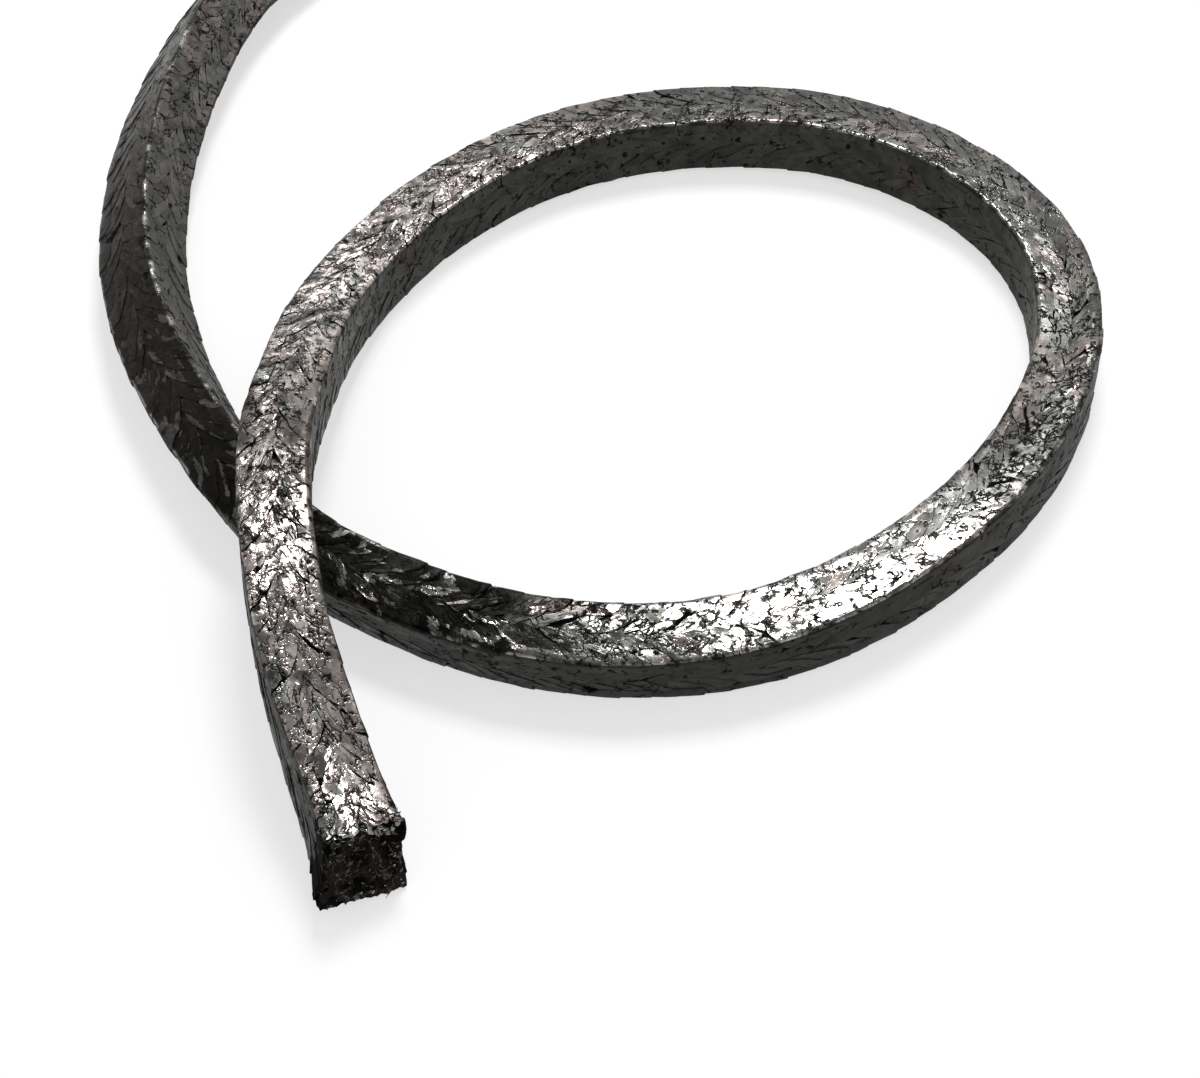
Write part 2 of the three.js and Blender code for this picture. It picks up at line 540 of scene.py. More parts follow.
@dataclass(frozen=True)
class YarnMarks:
    """What a material reads at a point of the packing: its place, and what the mesh stores there."""

    place: Field
    yarn: Field
    drawn: Field
    tone: Field
    upward: Field
    depth: Field
    shine: Field
    crumple: Field
    warmth: Field
    rim: Field
    corner: Field
    inner: Field
    scuffed: Field

    @classmethod
    def read(cls, maker: TreeMaker) -> "YarnMarks":
        """Adds the nodes that read all of it."""
        place = maker.get("ShaderNodeTexCoord", out="Object")
        yarn = cls.attribute(maker, "yarn", YARN_OUTPUT)
        wobble = maker.noise(place, 900.0, 2.0, "Color") - (0.5, 0.5, 0.5)
        drawn = yarn * (0.42, 1.0, 1.0) + wobble * 0.0011
        numbers = {name: cls.attribute(maker, name, NUMBER_OUTPUT) for name in MARKS}
        return cls(place=place, yarn=yarn, drawn=drawn, **numbers)

    @staticmethod
    def attribute(maker: TreeMaker, name: str, output: int) -> Field:
        """Reads an attribute of the mesh in a material."""
        node = maker.add("ShaderNodeAttribute", attribute_name=name)
        return Field(maker, node.outputs[output])


@dataclass(frozen=True)
class GraphiteFinish:
    """Graphite yarn, pressed flat and crumpled like foil, with painted light and shade: a bright top, dark
    unpolished sides and dark slots.
    """

    # Painted light and shade: the top's bright colours and the sides' far darker ones are one graphite, lit
    # on top and shaded on the sides.
    polished: Colour = (0.385, 0.34, 0.32, 1.0)
    polished_grey: Colour = (0.30, 0.304, 0.285, 1.0)
    matt_side_painted_shade: Colour = (0.031, 0.032, 0.027, 1.0)
    matt_side_painted_shade_warm: Colour = (0.034, 0.026, 0.023, 1.0)
    # Painted shade: near-black and brownish colours for stretches of the top where little light falls.
    painted_shade_dark: Colour = (0.006, 0.0065, 0.0055, 1.0)
    painted_shade_brown: Colour = (0.026, 0.021, 0.018, 1.0)
    # Near black for the cracks and for painted shade in the slots.
    crack_and_painted_shade_black: Colour = (0.002, 0.002, 0.002, 1.0)
    specular: float = 0.12
    bead_scale: float = 190.0
    # Painted highlight: how bright the spots along the corners are.
    bead_painted_highlight: float = 0.85
    sliver_scale: float = 420.0
    flake_scale: float = 230.0
    tinge_scale: float = 120.0
    fragment_scales: tuple[float, float, float] = (430.0, 1150.0, 2300.0)
    # Painted light: how much the inner side is brightened, standing in for bounce light.
    inner_side_painted_light: float = 0.9
    # Painted light: how much warm stretches of the top are brightened.
    warm_painted_light: float = 0.5
    # How much darker the sides get beside the near cut.
    near_cut_darkening: float = 0.92
    polished_metal: float = 0.95
    matt_metal: float = 0.3
    bump_height: float = 0.0001

    def material(self) -> bpy.types.Material:
        """Builds the material."""
        material, maker, shader = bare_material("graphite_braid", self.specular)
        marks = YarnMarks.read(maker)
        fragments = self.fragments(maker, marks.drawn)
        level = maker.noise(marks.place, self.bead_scale, 3.0)
        slots = maker.ramp(marks.shine, 0.05, 0.3, 0.45, 1.0)
        busy = maker.clamp(marks.crumple * 1.6, 0.05, 1.0)
        zone = marks.crumple + marks.corner * 0.9
        # Painted light: the route's shine, with painted highlights along the corners and painted glints on
        # the yarn.
        shine = self.shine_and_painted_glints(maker, marks, level)
        flake = maker.ramp(maker.noise(marks.place, self.flake_scale, 5.0) + marks.rim * 0.05, 0.60, 0.68)
        # Painted light and shade: faces that point up are painted bright and the sides dark; flakes of
        # unpressed yarn darken the top as well.
        polish_and_top_light = maker.ramp(marks.upward, 0.45, 0.75) * (1.0 - flake * slots * busy * 0.8)
        plenty = maker.ramp(marks.shine, 0.05, 0.5, 0.3, 1.05) * busy - (1.0 - polish_and_top_light) * 1.2
        crack = self.cracks(maker, marks, plenty)
        gaps = marks.corner * maker.ramp(level, 0.38, 0.46, 0.8, 0.0)
        crack = maker.math("MAXIMUM", crack, gaps) * slots
        # Painted shade in the slots, and darker patches on the sides beside the near cut.
        sunk = self.slot_shade_and_cut_darkening(maker, marks, slots)

        colour = self.colour(maker, marks, fragments, shine, polish_and_top_light)
        # Painted reflection: each fragment's colour is lightened or darkened as though it mirrored another
        # part of the room.
        painted_reflection_contrast = maker.clamp(polish_and_top_light * zone, 0.25, 1.1)
        coarse, middling, _ = fragments
        painted_fragment_reflection = (middling.parts()[0] * 1.1 + coarse.parts()[0] * 0.7) * painted_reflection_contrast + 1.0
        colour = colour * maker.clamp(painted_fragment_reflection, 0.3, 1.7)
        shade = maker.noise(marks.place, 420.0, 4.0) + marks.tone * 0.3
        shade = maker.ramp(shade, 0.4, 0.85, 0.5, 1.0)
        colour = maker.blend(shade * (1.0 - crack), self.crack_and_painted_shade_black, colour)
        # Painted shade: the slots and the darkened sides beside the near cut take the near-black colour.
        maker.feed(shader.inputs["Base Color"], maker.blend(sunk, colour, self.crack_and_painted_shade_black))
        metal = maker.ramp(polish_and_top_light, 0.0, 1.0, self.matt_metal, self.polished_metal)
        # No metal sheen there, so the painted shade stays dark.
        maker.feed(shader.inputs["Metallic"], metal * (1.0 - sunk))
        rough = maker.ramp(maker.noise(marks.place, 260.0, 3.0), 0.3, 0.7, 0.08, 0.19)
        rough = rough + (1.0 - shine) * 0.25 + (1.0 - polish_and_top_light) * 0.2
        maker.feed(shader.inputs["Roughness"], rough + crack * 0.4 + sunk * 0.7)
        loose = (polish_and_top_light * 0.65 + 0.35) * zone
        tilts = self.tilts(maker, marks, fragments, loose)
        maker.feed(shader.inputs["Normal"], self.crumple(maker, marks, tilts, loose, crack))
        return material

    def shine_and_painted_glints(self, maker: TreeMaker, marks: YarnMarks, level: Field) -> Field:
        """Gives how bright the surface is painted: the route's shine, with painted highlights as bright
        spots along the corners and painted glints as thin streaks on the yarn.
        """
        # Painted highlight: bright spots along the corners.
        painted_corner_highlights = marks.corner * maker.ramp(level, 0.5, 0.6)
        # Painted glints: thin bright streaks along the yarn, most where it is crumpled.
        painted_sliver_glints = maker.noise(marks.drawn, self.sliver_scale, 4.0) + marks.rim * 0.06
        painted_sliver_glints = maker.ramp(painted_sliver_glints, 0.62, 0.65) * maker.clamp(marks.crumple * 1.4 - 0.42, 0.0, 0.85)
        return maker.math("MAXIMUM", marks.shine, maker.math("MAXIMUM", painted_corner_highlights * self.bead_painted_highlight, painted_sliver_glints))

    def slot_shade_and_cut_darkening(self, maker: TreeMaker, marks: YarnMarks, slots: Field) -> Field:
        """Gives where the surface is dark: painted shade low in the slots, and darker patches on the sides
        beside the near cut.
        """
        # Painted shade: the lower the surface lies in a slot, the darker it is.
        painted_slot_shade = maker.ramp(marks.depth, 0.2, 0.38) * slots
        # The sides beside the near cut are darkened in patches.
        near_cut_dark = maker.noise(marks.place, 420.0, 3.0) + marks.scuffed * 0.45
        return maker.math("MAXIMUM", painted_slot_shade, maker.ramp(near_cut_dark, 0.62, 0.74) * self.near_cut_darkening)

    def colour(
        self,
        maker: TreeMaker,
        marks: YarnMarks,
        fragments: tuple[Field, Field, Field],
        shine: Field,
        polish_and_top_light: Field,
    ) -> Field:
        """Mixes the colour of the yarn, before its patches and shades.

        Args:
            maker: The maker of the material's tree.
            marks: What the mesh stores.
            fragments: The three sizes of fragment, the coarse one first.
            shine: How bright the surface is painted, from 0 to 1, partly rubbed brightness of the yarn and
                partly painted highlight and shade.
            polish_and_top_light: 1 on a pressed top, painted bright, and 0 on an unpolished side, painted
                dark.

        Returns:
            The colour.
        """
        tinge = maker.noise(marks.place, self.tinge_scale, 3.0) + marks.tone * 0.2
        tinge = tinge + marks.warmth * 0.28 + fragments[0].parts()[2] * 0.16 - 0.2
        bright_polish = maker.blend(maker.ramp(tinge, 0.45, 0.65), self.polished_grey, self.polished)
        # Painted shade: where the shine is low the top takes a near-black colour instead of the bright
        # polished one.
        painted_shade_colour = maker.blend(marks.warmth, self.painted_shade_dark, self.painted_shade_brown)
        # Painted light: warm stretches of the top are brightened.
        bright = maker.blend(shine, painted_shade_colour, bright_polish) * (marks.warmth * self.warm_painted_light + 1.0)
        patches = maker.ramp(maker.noise(marks.place, 160.0, 2.0), 0.55, 0.7)
        # Painted shade on the sides, lifted on the inner side by painted bounce light.
        sides_painted_dark = maker.blend(patches, self.matt_side_painted_shade, self.matt_side_painted_shade_warm) * (marks.inner * self.inner_side_painted_light + 1.0)
        # Painted light and shade: the top takes the bright colour, the sides the dark one.
        return maker.blend(polish_and_top_light, sides_painted_dark, bright)

    @staticmethod
    def tilts(
        maker: TreeMaker, marks: YarnMarks, fragments: tuple[Field, Field, Field], loose: Field
    ) -> tuple[tuple[Field, Field], ...]:
        """Gives how far each size of fragment, and each whole float, is tilted.

        Args:
            maker: The maker of the material's tree.
            marks: What the mesh stores.
            fragments: The three sizes of fragment, the coarse one first.
            loose: How crumpled the surface is, 1 for the usual.

        Returns:
            Pairs of a vector and its weight.
        """
        coarse, middling, fine = fragments
        broken = maker.ramp(maker.noise(marks.place, 170.0, 3.0) + marks.rim * 0.08, 0.50, 0.68)
        torn = maker.ramp(maker.noise(marks.place, 430.0, 3.0) + marks.rim * 0.06, 0.56, 0.72)
        chance = {"W": marks.tone * 1000.0}
        plate = maker.get("ShaderNodeTexWhiteNoise", chance, out=1, noise_dimensions="1D")
        return (
            (coarse, (broken * 0.07 + 0.04) * loose),
            (middling, (broken * 0.34 + 0.025) * loose),
            (fine, (torn * 0.4 + 0.012) * loose),
            (plate - (0.5, 0.5, 0.5), loose * 0.04 + 0.025),
        )

    @staticmethod
    def cracks(maker: TreeMaker, marks: YarnMarks, plenty: Field) -> Field:
        """Draws thin dark cracks that come and go, 1 in a crack and 0 beside it.

        Args:
            maker: The maker of the material's tree.
            marks: What the mesh stores.
            plenty: How many cracks there are, 1 for the usual.

        Returns:
            Strength of the cracks.
        """
        place = marks.place
        wobble = maker.noise(place, 480.0, 3.0, "Color") - (0.5, 0.5, 0.5)
        bent = place + wobble * 0.0034
        seam = maker.ramp(marks.rim + maker.noise(place, 900.0, 2.0) * 0.16, 0.98, 1.04)
        fewer = (1.0 - plenty) * 0.085
        total = seam * maker.ramp(maker.noise(place, 210.0, 2.0) - fewer, 0.46, 0.54)
        kinds = ((bent, 230.0, 0.05, 0.46), (bent, 640.0, 0.12, 0.48), (marks.drawn, 700.0, 0.15, 0.5))
        for source, scale, width, low in kinds:
            inputs = {"Vector": source, "Scale": scale}
            edges = maker.add("ShaderNodeTexVoronoi", inputs, feature="DISTANCE_TO_EDGE")
            near = maker.ramp(Field(maker, edges.outputs["Distance"]), 0.0, width, 1.0, 0.0)
            presence = maker.noise(place, scale * 0.7, 1.0) - fewer
            total = maker.math("MAXIMUM", total, near * maker.ramp(presence, low, low + 0.07))
        return total

    def fragments(self, maker: TreeMaker, drawn: Field) -> tuple[Field, Field, Field]:
        """Breaks the surface into flat fragments of three sizes.

        Args:
            maker: The maker of the material's tree.
            drawn: Coordinates that are drawn out along the yarn.

        Returns:
            Three vectors that are the same all over a fragment, each part from -0.5 to 0.5.
        """
        cells = []
        for scale in self.fragment_scales:
            cell = maker.add("ShaderNodeTexVoronoi", {"Vector": drawn, "Scale": scale})
            cells.append(Field(maker, cell.outputs["Color"]) - (0.5, 0.5, 0.5))
        return tuple(cells)

    def crumple(
        self,
        maker: TreeMaker,
        marks: YarnMarks,
        tilts: tuple[tuple[Field, Field], ...],
        loose: Field,
        crack: Field,
    ) -> Field:
        """Turns the normal in small flat facets, as crumpled foil does, with fine fibres on top.

        Args:
            maker: The maker of the material's tree.
            marks: What the mesh stores.
            tilts: A vector for each size of fragment, and how far it tilts them.
            loose: How crumpled the surface is, 1 for the usual.
            crack: Strength of the cracks, from 0 to 1.

        Returns:
            The normal.
        """
        normal = maker.get("ShaderNodeNewGeometry", out="Normal")
        for spread, tilt in tilts:
            normal = normal + spread * tilt
        facets = maker.get("ShaderNodeVectorMath", {0: normal}, operation="NORMALIZE")
        fibres = maker.noise(marks.yarn * (500.0, 3000.0, 700.0), 1.0, 3.0)
        lumps = maker.noise(marks.place, 900.0, 4.0)
        height = (fibres + lumps) * (loose * 0.35 + 0.1) - crack * 1.2
        inputs = {"Strength": 0.6, "Distance": self.bump_height, "Height": height, "Normal": facets}
        return maker.get("ShaderNodeBump", inputs)


@dataclass(frozen=True)
class CutFinish:
    """The torn and cut yarn ends: nearly black, with brownish fibres and a few bright flecks."""

    dark: Colour = (0.004, 0.0035, 0.003, 1.0)
    fibre: Colour = (0.17, 0.148, 0.13, 1.0)
    fleck: Colour = (0.45, 0.43, 0.40, 1.0)
    specular: float = 0.03
    strand_scales: tuple[float, float] = (260.0, 430.0)
    strand_width: float = 0.035
    bump_height: float = 0.0003

    def material(self) -> bpy.types.Material:
        """Builds the material."""
        material, maker, shader = bare_material("cut_graphite", self.specular)
        place = maker.get("ShaderNodeTexCoord", out="Object")
        bent = place + (maker.noise(place, 700.0, 2.0, "Color") - (0.5, 0.5, 0.5)) * 0.0012
        strand = maker.ramp(maker.noise(place, 300.0, 2.0), 0.42, 0.6) * 0.14
        for scale in self.strand_scales:
            level = maker.math("ABSOLUTE", maker.noise(bent, scale, 1.0) - 0.5)
            line = maker.ramp(level, 0.0, self.strand_width, 1.0, 0.0)
            line = line * maker.ramp(maker.noise(place, scale * 1.7), 0.42, 0.56)
            strand = maker.math("MAXIMUM", strand, line)
        flecks = maker.ramp(maker.noise(place, 1300.0, 2.0), 0.68, 0.72)
        colour = maker.blend(strand, self.dark, self.fibre)
        maker.feed(shader.inputs["Base Color"], maker.blend(flecks, colour, self.fleck))
        maker.feed(shader.inputs["Metallic"], maker.math("MAXIMUM", flecks, strand * 0.4))
        maker.feed(shader.inputs["Roughness"], maker.ramp(flecks, 0.0, 1.0, 0.55, 0.3))
        height = maker.noise(place, 1400.0, 4.0) + strand * 0.5
        inputs = {"Strength": 0.8, "Distance": self.bump_height, "Height": height}
        bump = maker.get("ShaderNodeBump", inputs)
        maker.feed(shader.inputs["Normal"], bump)
        return material


@dataclass(frozen=True)
class YarnSet:
    """The columns of yarn floats that lie alike on each of the four sides.

    Args:
        name: Name of the piece that they make.
        to_a_side: Number of the columns to a side.
        first: Distance from a corner to the middle of the first column.
        width: Width of a column, around the section.
        slope: How far a float runs along the packing for each unit around it, turned over in each
            second column.
        fullness: Usual width of a float, in row pitches.
        spread: How much that width varies.
        marks: Where the points of a float lie along it, for half of it.
        shift: Distance of its rows along the packing, in row pitches.
        seed: Fixed seed for what varies.
    """

    name: str
    to_a_side: int
    first: float
    width: float
    slope: float
    fullness: float
    spread: float
    marks: tuple[float, ...]
    shift: float
    seed: int


@dataclass
class BraidedPacking:
    """The packing itself: a dark core under rows of yarn floats that were pressed flat."""

    route: PackingRoute
    groups: tuple[bpy.types.NodeTree, bpy.types.NodeTree]
    row_pitch: float = 0.0045
    edge_width: float = 0.0046
    overlap: float = 1.4
    rim: float = 0.88
    end_dip: float = 0.0007
    side_dip: float = 0.00045
    core_depth: float = 0.0004
    core_sides: int = 40
    core_step: float = 0.003
    core_setback: float = 0.003
    sheared_length: float = 0.02
    row_sway: float = 0.34
    float_bow: float = 0.0012
    long_sway: float = 0.0026
    short_sway: float = 0.0022
    lump_height: float = 0.00022
    corner_swell: float = 0.0006
    height_spread: float = 0.00016
    flank_lift: float = 0.00009
    top_edge_stand: float = 0.0006
    low_edge_stand: float = 0.0016
    opened_before: float = 0.008
    opened_after: float = 0.003
    torn_length: float = 0.0036
    torn_inset: float = 0.0004
    far_torn_length: float = 0.0008
    near_cut_side_length: float = 0.0085
    # Shine of the side faces, part of the painted light and shade.
    side_shine: float = 0.35
    cross_marks: tuple[float, ...] = (-1.0, -0.88, -0.45, 0.0, 0.45, 0.88, 1.0)

    @property
    def yarn_sets(self) -> tuple[YarnSet, YarnSet]:
        """The floats that lie on the faces, and those that wrap the edges between them."""
        width = (self.route.perimeter / 4 - self.edge_width) / 2
        first = (self.edge_width + width) / 2
        return (
            YarnSet(
                name="packing_braid",
                to_a_side=2,
                first=first,
                width=width,
                slope=-1.7,
                fullness=1.32,
                spread=0.5,
                marks=(0.0, 0.3, 0.6),
                shift=0.0,
                seed=7,
            ),
            YarnSet(
                name="packing_edges",
                to_a_side=1,
                first=0.0,
                width=self.edge_width,
                slope=0.45,
                fullness=1.55,
                spread=0.3,
                marks=(0.0, 0.1, 0.22, 0.5),
                shift=0.25,
                seed=19,
            ),
        )

    @property
    def rows(self) -> int:
        """Number of floats along one column."""
        return math.ceil(self.route.length / self.row_pitch) + 2

    def float_template(self, yarns: YarnSet) -> bpy.types.Object:
        """Makes one closed yarn float on a square from -1 to 1, for the node tree to repeat and bend."""
        work = bmesh.new()
        half = (*yarns.marks, self.rim, 1.0)
        run_marks = [-mark for mark in half[:0:-1]] + list(half)
        grid = [[work.verts.new((x, y, 0.0)) for y in self.cross_marks] for x in run_marks]
        for low, high in zip(grid, grid[1:]):
            for left, right in zip(range(len(low)), range(1, len(low))):
                work.faces.new((low[left], low[right], high[right], high[left]))
        rim = grid[0][:-1] + [row[-1] for row in grid[:-1]]
        rim += grid[-1][:0:-1] + [row[0] for row in grid[:0:-1]]
        work.faces.new(rim[::-1])
        for edge in work.edges:
            places = [vertex.co for vertex in edge.verts]
            beyond = [max(abs(place.x), abs(place.y)) > self.rim - 0.01 for place in places]
            edge.smooth = not all(beyond)
        for face in work.faces:
            face.smooth = True
        mesh = bpy.data.meshes.new("yarn_float")
        work.to_mesh(mesh)
        work.free()
        item = bpy.data.objects.new("yarn_float", mesh)
        bpy.context.scene.collection.objects.link(item)
        return item

    def tree(self, yarns: YarnSet, with_core: bool) -> bpy.types.NodeTree:
        """Builds the node tree that lays one set of floats along the route.

        Args:
            yarns: The set of floats.
            with_core: Whether the tree makes the core too.

        Returns:
            A tree with the inputs Route line, Yarn float, Row pitch and Graphite.
        """
        tree = bpy.data.node_groups.new(yarns.name, "GeometryNodeTree")
        maker = TreeMaker(tree)
        maker.input("Route line", "Geometry")
        maker.input("Yarn float", "Object")
        maker.input("Row pitch", "Float")
        maker.input("Graphite", "Material")
        maker.output("Braid", "Geometry")
        source = maker.add("NodeGroupInput")
        line, template, pitch, graphite = (Field(maker, source.outputs[k]) for k in range(4))
        route = maker.get("GeometryNodeMeshToCurve", {0: line})
        join = maker.add("GeometryNodeJoinGeometry")
        floats = self.scattered(maker, yarns, template, pitch)
        maker.feed(join.inputs[0], self.shaped(maker, yarns, route, floats, pitch))
        if with_core:
            maker.feed(join.inputs[0], self.core(maker, route))
        real = maker.get("GeometryNodeRealizeInstances", {"Geometry": Field(maker, join.outputs[0])})
        dressed = maker.get("GeometryNodeSetMaterial", {"Geometry": real, "Material": graphite})
        maker.feed(maker.add("NodeGroupOutput").inputs[0], dressed)
        return tree

    def scattered(self, maker: TreeMaker, yarns: YarnSet, template: Field, pitch: Field) -> Field:
        """Repeats the float once for each column and row, all still on the same square."""
        columns = 4 * yarns.to_a_side
        points = maker.get("GeometryNodePoints", {"Count": columns * self.rows})
        index = maker.get("GeometryNodeInputIndex")
        row = maker.math("FLOOR", (index + 0.5) / columns)
        column = index - row * columns
        side = maker.math("FLOOR", (column + 0.5) / yarns.to_a_side)
        step = (column - side * yarns.to_a_side) * yarns.width
        centre = side * (self.route.perimeter / 4) + yarns.first + step
        second = maker.math("MODULO", column, 2.0)
        sway = (maker.random(yarns.seed, index) - 0.5) * self.row_sway
        start = (row + second * 0.5 + sway + (yarns.shift - 0.5)) * pitch
        values = {"centre": centre, "start": start, "hand": 1.0 - second * 2.0}
        chances = ("chance_width", "chance_height", "chance_slope", "tone", "chance_bow")
        for offset, name in enumerate(chances):
            values[name] = maker.random(yarns.seed + 1 + offset, index)
        for name, value in values.items():
            points = maker.store(points, name, value)
        bend = maker.add("GeometryNodeGroup", {"Around": maker.named("centre")}, node_tree=self.groups[0])
        cut = self.route.cut_at - Field(maker, bend.outputs["Top"]) * self.route.cut_lean
        beyond = maker.math("GREATER_THAN", maker.named("start"), cut)
        before = maker.math("LESS_THAN", maker.named("start"), 0.0)
        gone = maker.math("MAXIMUM", beyond, before)
        inputs = {"Geometry": points, "Selection": gone}
        points = maker.get("GeometryNodeDeleteGeometry", inputs, domain="POINT")
        shape = maker.get("GeometryNodeObjectInfo", {"Object": template}, out="Geometry")
        floats = maker.get("GeometryNodeInstanceOnPoints", {"Points": points, "Instance": shape})
        return maker.get("GeometryNodeRealizeInstances", {"Geometry": floats})

    def shaped(self, maker: TreeMaker, yarns: YarnSet, route: Field, floats: Field, pitch: Field) -> Field:
        """Gives each float its slanted, torn outline and its flat top, and lays it on the packing."""
        run, cross, _ = maker.get("GeometryNodeInputPosition").parts()
        chances = ("chance_width", "chance_height", "chance_slope", "chance_bow")
        width, height, slope, bow = (maker.named(name) - 0.5 for name in chances)
        reach = run * (yarns.width * self.overlap / 2)
        around = maker.named("centre") + reach
        inputs = {"Route": route, "Along": maker.named("start")}
        there = maker.add("GeometryNodeGroup", inputs, node_tree=self.groups[1])
        dense = Field(maker, there.outputs["warmth"]) * 0.3
        wide = width * yarns.spread + yarns.fullness + dense
        taper = 1.0 - maker.math("POWER", maker.math("ABSOLUTE", run), 2.2) * 0.5
        leant = reach * (maker.named("hand") * yarns.slope) * (slope * 0.5 + 1.0)
        bowed = bow * (1.0 - run * run) * self.float_bow
        along = maker.named("start") + leant + bowed + cross * wide * taper * pitch * 0.5

        drum = self.route.perimeter / (2 * math.pi)
        angle = around / drum
        cosine, sine = (maker.math(name, angle) for name in ("COSINE", "SINE"))
        ring = maker.xyz(cosine * drum, sine * drum, along)
        own = ring + maker.xyz(maker.named("tone") * 0.3, maker.named("chance_bow") * 0.3, 0.0)
        sway = maker.noise(ring, 60.0, 1.0, "Color") - (0.5, 0.5, 0.5)
        fray = maker.noise(own, 520.0, 2.0, "Color") - (0.5, 0.5, 0.5)
        sway_x, sway_y, _ = (sway * self.long_sway + fray * self.short_sway).parts()
        on_corner = maker.math("COSINE", angle * 4.0) * 0.5 + 0.5
        around = around + sway_x * 0.6 * (1.0 - on_corner)
        along = along + sway_y

        ends = maker.ramp(maker.math("ABSOLUTE", run), self.rim - 0.01, 1.0, 0.0, self.end_dip)
        flanks = maker.ramp(maker.math("ABSOLUTE", cross), self.rim - 0.01, 1.0, 0.0, self.side_dip)
        lumps = (maker.noise(own, 420.0, 2.0) - 0.5) * self.lump_height
        lumps = lumps + (maker.noise(ring, 170.0, 2.0) - 0.5) * on_corner * self.corner_swell
        out = height * self.height_spread + cross * self.flank_lift + lumps - ends - flanks
        out = out + self.opened(maker, angle, along)

        rim = maker.math("MAXIMUM", maker.math("ABSOLUTE", run), maker.math("ABSOLUTE", cross)) / self.rim
        floats = maker.store(floats, "rim", rim)
        yarn = maker.xyz(reach * math.hypot(1.0, yarns.slope), cross * pitch * 0.4, maker.named("tone"))
        return self.laid(maker, route, floats, around, along, out, yarn)

    def opened(self, maker: TreeMaker, angle: Field, along: Field) -> Field:
        """Gives how far the floats stand away beside the near cut, most at three of the four edges."""
        top_inner = maker.math("MAXIMUM", maker.math("COSINE", angle) * -1.0, 0.0) * self.top_edge_stand
        downward = maker.math("SINE", angle - math.pi / 4) * -1.0
        sideways = maker.math("ABSOLUTE", maker.math("COSINE", angle - math.pi / 4))
        low = maker.ramp(downward, 0.0, 0.7) * maker.ramp(sideways, 0.3, 0.7) * self.low_edge_stand
        cut_at = self.route.cut_at
        near_cut = maker.ramp(along, cut_at - self.opened_before, cut_at + self.opened_after)
        return (top_inner + low) * near_cut * (maker.named("tone") * 0.8 + 0.4)

    def laid(
        self,
        maker: TreeMaker,
        route: Field,
        shape: Field,
        around: Field,
        along: Field,
        out: Field,
        yarn: Field,
    ) -> Field:
        """Lays a shape on the packing by its unrolled places, and stores what its finish reads.

        Args:
            maker: The maker of the tree.
            route: The route as a curve.
            shape: The geometry to lay.
            around: Distance around the section.
            along: Distance along the route.
            out: Height above the plain section.
            yarn: Distances along and across the yarn, and a number of its own.

        Returns:
            The geometry in its place.
        """
        outline, place = self.groups
        bend = maker.add("GeometryNodeGroup", {"Around": around, "Out": out}, node_tree=outline)
        outer, top, face_outer, face_top = (Field(maker, socket) for socket in bend.outputs)
        torn = maker.noise(maker.xyz(outer, top, along), 420.0, 2.0) - 0.5
        last = self.route.cut_at - top * self.route.cut_lean
        last = last + torn * self.torn_length - self.torn_inset
        first = torn * self.far_torn_length
        held = maker.math("MINIMUM", maker.math("MAXIMUM", along, first), last)
        inputs = {"Route": route, "Along": held, "Outer": outer, "Top": top}
        lay = maker.add("GeometryNodeGroup", inputs, node_tree=place)
        laid = (Field(maker, socket) for socket in lay.outputs)
        spot, outer_way, top_way, shine, crumple, warmth, lean = laid
        _, _, upward = (outer_way * face_outer + top_way * face_top).parts()
        on_top = maker.ramp(face_top, 0.4, 0.8)
        leant = outer * lean * on_top / self.route.flat
        shares = (maker.math("ABSOLUTE", face) for face in (face_outer, face_top))
        values = {
            "upward": upward,
            "depth": out * -1.0 / MM,
            # Painted light and shade: the route's shine on the top, a fixed shine on the sides, brighter
            # towards the edge that lean names.
            "shine": (shine * on_top + (1.0 - on_top) * self.side_shine) * (leant * 0.3 + 1.0),
            "crumple": crumple * (leant * 0.9 + 1.0),
            "warmth": warmth,
            "corner": maker.ramp(maker.math("MINIMUM", *shares), 0.05, 0.5),
            # Where the inner side is, which painted light brightens.
            "inner": maker.ramp(face_outer, -0.9, -0.3, 1.0, 0.0),
            # Sides close to the near cut, which the finish darkens.
            "scuffed": maker.ramp(last - along, 0.0, self.near_cut_side_length, 1.0, 0.0) * (1.0 - on_top),
        }
        for name, value in values.items():
            shape = maker.store(shape, name, value)
        shape = maker.store(shape, "yarn", yarn, "FLOAT_VECTOR")
        return moved(maker, shape, spot)

    def core(self, maker: TreeMaker, route: Field) -> Field:
        """Makes the dark core under the floats, closed at both ends."""
        steps = math.ceil(self.route.length / self.core_step)
        inputs = {"Vertices": self.core_sides, "Side Segments": steps}
        inputs |= {"Radius": 1.0, "Depth": 2.0}
        node = maker.add("GeometryNodeMeshCylinder", inputs, fill_type="NGON")
        x, y, z = maker.get("GeometryNodeInputPosition").parts()
        turn = maker.math("ARCTAN2", y, x) / (2 * math.pi) + 0.5
        around = turn * self.route.perimeter
        depth = maker.math("ADD", x * 0.0, -self.core_depth)
        bend = maker.add("GeometryNodeGroup", {"Around": around, "Out": depth}, node_tree=self.groups[0])
        last = self.route.cut_at - self.core_setback
        straight = (1.0 - z) * (last / 2)
        near = maker.ramp(straight, last - self.sheared_length, last)
        along = straight - near * Field(maker, bend.outputs["Top"]) * self.route.cut_lean
        yarn = maker.xyz(around, along, 0.0)
        return self.laid(maker, route, Field(maker, node.outputs[0]), around, along, depth, yarn)

